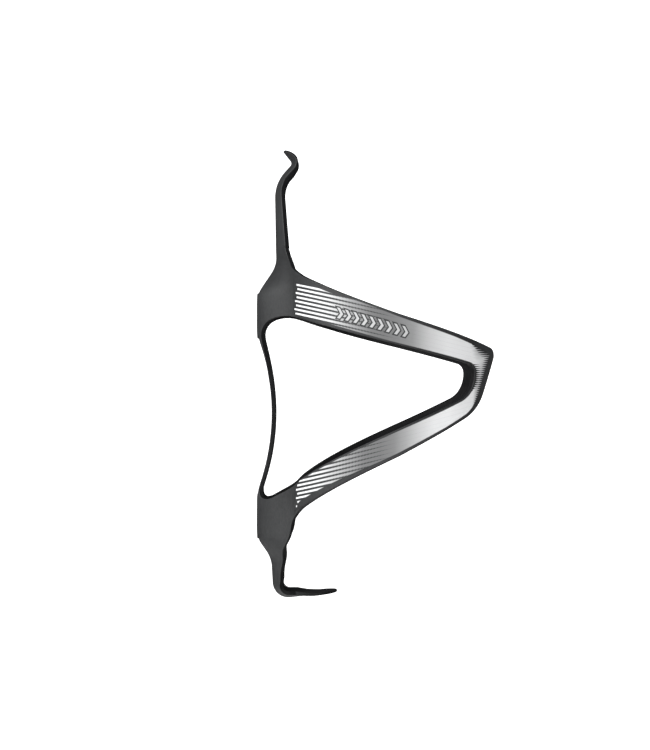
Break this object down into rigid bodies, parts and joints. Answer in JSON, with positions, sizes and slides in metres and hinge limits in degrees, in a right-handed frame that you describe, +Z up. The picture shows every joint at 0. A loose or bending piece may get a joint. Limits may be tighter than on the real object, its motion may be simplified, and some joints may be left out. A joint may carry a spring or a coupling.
{
  "type": "water bottle cage",
  "caption": "Open triangular bottle cage moulded in thin fibre composite, with two sprung wings, a top snap tab, a foot and two bolt slots.",
  "frame": {"origin": "midway between the two bolt slots, on the plane that touches the frame tube", "axes": "+X from the frame tube into the bottle, +Z up along the bottle, +Y to the left"},
  "size_m": [0.0746, 0.0766, 0.1432],
  "materials": {
    "composite": "dark charcoal fibre laminate, satin moulded faces and near-black cut edges",
    "print": "satin silver film printed in fine stripes that merge into solid silver"
  },
  "bodies": {
    "spine": {"spine": "composite"},
    "top_tab": {"top_tab": "composite"},
    "left_wing": {"left_wing": "composite", "left_graphic": "print"},
    "right_wing": {"right_wing": "composite", "right_graphic": "print"}
  },
  "joints": [
    {"name": "top_tab_flex", "type": "hinge", "parent": "spine", "child": "top_tab", "pos_m": [0.0085, 0, 0.0538], "axis": [0, -1, 0], "range_deg": [-1, 6], "stiffness_Nm_per_rad": 3.5},
    {"name": "left_wing_flex", "type": "hinge", "parent": "spine", "child": "left_wing", "pos_m": [0.01503, 0.02262, 0], "axis": [0, 0, 1], "range_deg": [-1.5, 4], "stiffness_Nm_per_rad": 15},
    {"name": "right_wing_flex", "type": "hinge", "parent": "spine", "child": "right_wing", "pos_m": [0.01503, -0.02262, 0], "axis": [0, 0, -1], "range_deg": [-1.5, 4], "stiffness_Nm_per_rad": 15}
  ]
}
